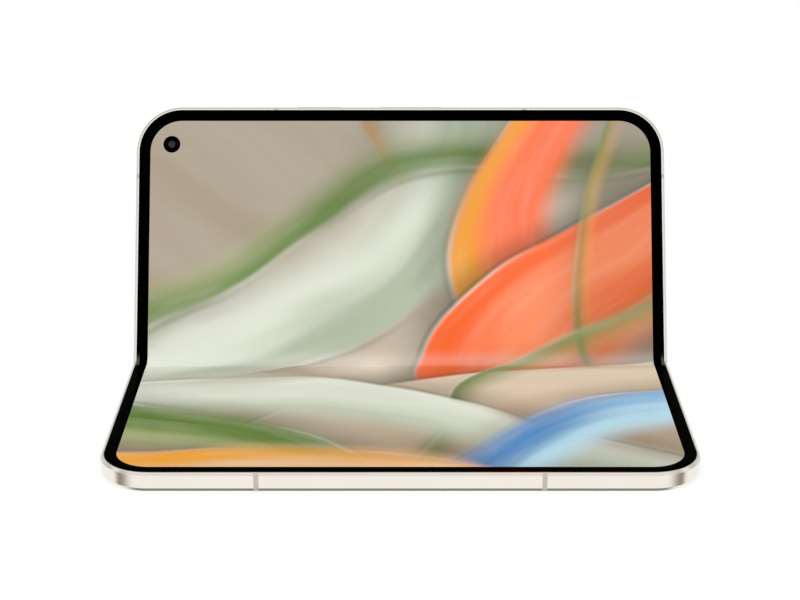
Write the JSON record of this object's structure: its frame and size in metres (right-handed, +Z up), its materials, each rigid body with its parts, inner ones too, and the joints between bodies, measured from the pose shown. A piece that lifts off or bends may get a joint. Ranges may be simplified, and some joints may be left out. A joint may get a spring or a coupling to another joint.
{
  "type": "foldable smartphone",
  "caption": "Book-style folding phone standing half open like a small laptop, with one flexible inner display across both halves and a geared hinge spine.",
  "frame": {"origin": "middle of the face that the lying half rests on, with the table at Z = 0", "axes": "+X along the hinge, towards the end with the charging socket; +Y from the lying half's outer edge towards the hinge; +Z up"},
  "size_m": [0.1552, 0.1124, 0.0723],
  "materials": {
    "frame_metal": "satin polished, warm white",
    "key_metal": "satin polished, warm white",
    "spine_metal": "polished, warm white",
    "spine_cap_metal": "dark satin",
    "antenna_plastic": "matte, filled flush",
    "cover_glass": "gloss black",
    "back_glass": "satin etched, warm white",
    "lens_glass": "gloss",
    "flash_glass": "frosted",
    "screen_film": "gloss film over the lit picture",
    "screen_border": "black, gloss",
    "panel_black": "matte black",
    "battery_wrap": "satin film",
    "board_green": "solder mask",
    "chip_black": "moulded",
    "can_steel": "stamped",
    "module_grey": "moulded",
    "copper": "rolled copper",
    "flex_amber": "polyimide film",
    "hinge_steel": "sintered steel",
    "gear_steel": "hardened",
    "screw_steel": "black zinc"
  },
  "bodies": {
    "base": {"base_frame": "frame_metal", "base_antenna_bands": "antenna_plastic", "cover_glass": "cover_glass", "cover_display": "panel_black", "cover_camera": "panel_black", "base_battery": "battery_wrap", "sub_board": "board_green", "sub_board_shield": "can_steel", "sim_reader": "can_steel", "vibration_motor": "module_grey", "earpiece_speaker": "module_grey", "base_display": "screen_film", "base_border": "screen_border", "base_guide_rotors": "hinge_steel", "base_sync_rotor": "hinge_steel", "base_rotor_screws": "screw_steel"},
    "spine": {"spine_cover": "spine_metal", "spine_end_caps": "spine_cap_metal", "guide_blocks": "hinge_steel", "sync_block": "hinge_steel", "block_screws": "screw_steel", "friction_washers": "gear_steel", "display_fold": "screen_film", "hinge_flex": "flex_amber"},
    "lid": {"lid_frame": "frame_metal", "lid_antenna_bands": "antenna_plastic", "back_glass": "back_glass", "camera_island": "frame_metal", "lens_covers": "lens_glass", "main_camera": "panel_black", "ultrawide_camera": "panel_black", "tele_camera": "panel_black", "flash_window": "flash_glass", "inner_camera": "panel_black", "lid_display": "screen_film", "lid_border": "screen_border", "lid_battery": "battery_wrap", "heat_spreader": "copper", "main_board": "board_green", "board_chips": "chip_black", "board_shield": "can_steel", "charging_coil": "copper", "charging_board": "board_green", "charging_port": "can_steel", "loudspeaker": "module_grey", "button_flex": "flex_amber", "lid_guide_rotors": "hinge_steel", "lid_sync_rotor": "hinge_steel", "lid_rotor_screws": "screw_steel"},
    "sim_tray": {"sim_tray": "key_metal"},
    "base_wing": {"base_wing": "hinge_steel"},
    "lid_wing": {"lid_wing": "hinge_steel"},
    "base_pinion": {"base_pinion": "gear_steel"},
    "base_idler": {"base_idler": "gear_steel"},
    "lid_idler": {"lid_idler": "gear_steel"},
    "lid_pinion": {"lid_pinion": "gear_steel"},
    "power_button": {"power_button": "key_metal"},
    "volume_rocker": {"volume_rocker": "key_metal"}
  },
  "joints": [
    {"name": "base_fold", "type": "hinge", "parent": "base", "child": "spine", "pos_m": [0, 0.03653, 0.00402], "axis": [1, 0, 0], "range_deg": [-32, 58]},
    {"name": "lid_fold", "type": "hinge", "parent": "spine", "child": "lid", "pos_m": [0, 0.03869, 0.00538], "axis": [1, 0, 0], "range_deg": [-32.5, 58.5], "deforming": ["display_fold", "hinge_flex"]},
    {"name": "base_wing_tilt", "type": "hinge", "parent": "base", "child": "base_wing", "pos_m": [0, 0.0305, 0.00415], "axis": [1, 0, 0], "range_deg": [-9.58, 5.42]},
    {"name": "lid_wing_tilt", "type": "hinge", "parent": "lid", "child": "lid_wing", "pos_m": [0, 0.04122, 0.01085], "axis": [1, 0, 0], "range_deg": [-5.42, 9.58]},
    {"name": "base_pinion_spin", "type": "hinge", "parent": "spine", "child": "base_pinion", "pos_m": [0, 0.03657, 0.00265], "axis": [1, 0, 0], "range_deg": [-170.17, 94.33]},
    {"name": "base_idler_spin", "type": "hinge", "parent": "spine", "child": "base_idler", "pos_m": [0, 0.03801, 0.00269], "axis": [1, 0, 0], "range_deg": [-94.33, 170.17]},
    {"name": "lid_idler_spin", "type": "hinge", "parent": "spine", "child": "lid_idler", "pos_m": [0, 0.03923, 0.00346], "axis": [1, 0, 0], "range_deg": [-170.17, 94.33]},
    {"name": "lid_pinion_spin", "type": "hinge", "parent": "spine", "child": "lid_pinion", "pos_m": [0, 0.03991, 0.00473], "axis": [1, 0, 0], "range_deg": [-94.33, 170.17]},
    {"name": "power_press", "type": "slide", "parent": "lid", "child": "power_button", "axis": [0, -0.4384, -0.8988], "range_m": [0, 0.00025], "stiffness_N_per_m": 400, "springref_m": -0.003},
    {"name": "volume_rock", "type": "hinge", "parent": "lid", "child": "volume_rocker", "pos_m": [0.00315, 0.07133, 0.0687], "axis": [0, -0.8988, 0.4384], "range_deg": [-1.2, 1.2], "stiffness_Nm_per_rad": 0.4},
    {"name": "sim_tray_slide", "type": "slide", "parent": "base", "child": "sim_tray", "axis": [1, 0, 0], "range_m": [0, 0.018]}
  ],
  "couplings": [
    {"joint": "lid_fold", "follows": "base_fold", "ratio": 1},
    {"joint": "base_wing_tilt", "follows": "base_fold", "ratio": -0.16},
    {"joint": "lid_wing_tilt", "follows": "base_fold", "ratio": 0.16},
    {"joint": "lid_pinion_spin", "follows": "base_fold", "ratio": 2.9167},
    {"joint": "base_idler_spin", "follows": "base_fold", "ratio": 2.9167},
    {"joint": "lid_idler_spin", "follows": "base_fold", "ratio": -2.9167},
    {"joint": "base_pinion_spin", "follows": "base_fold", "ratio": -2.9167}
  ]
}
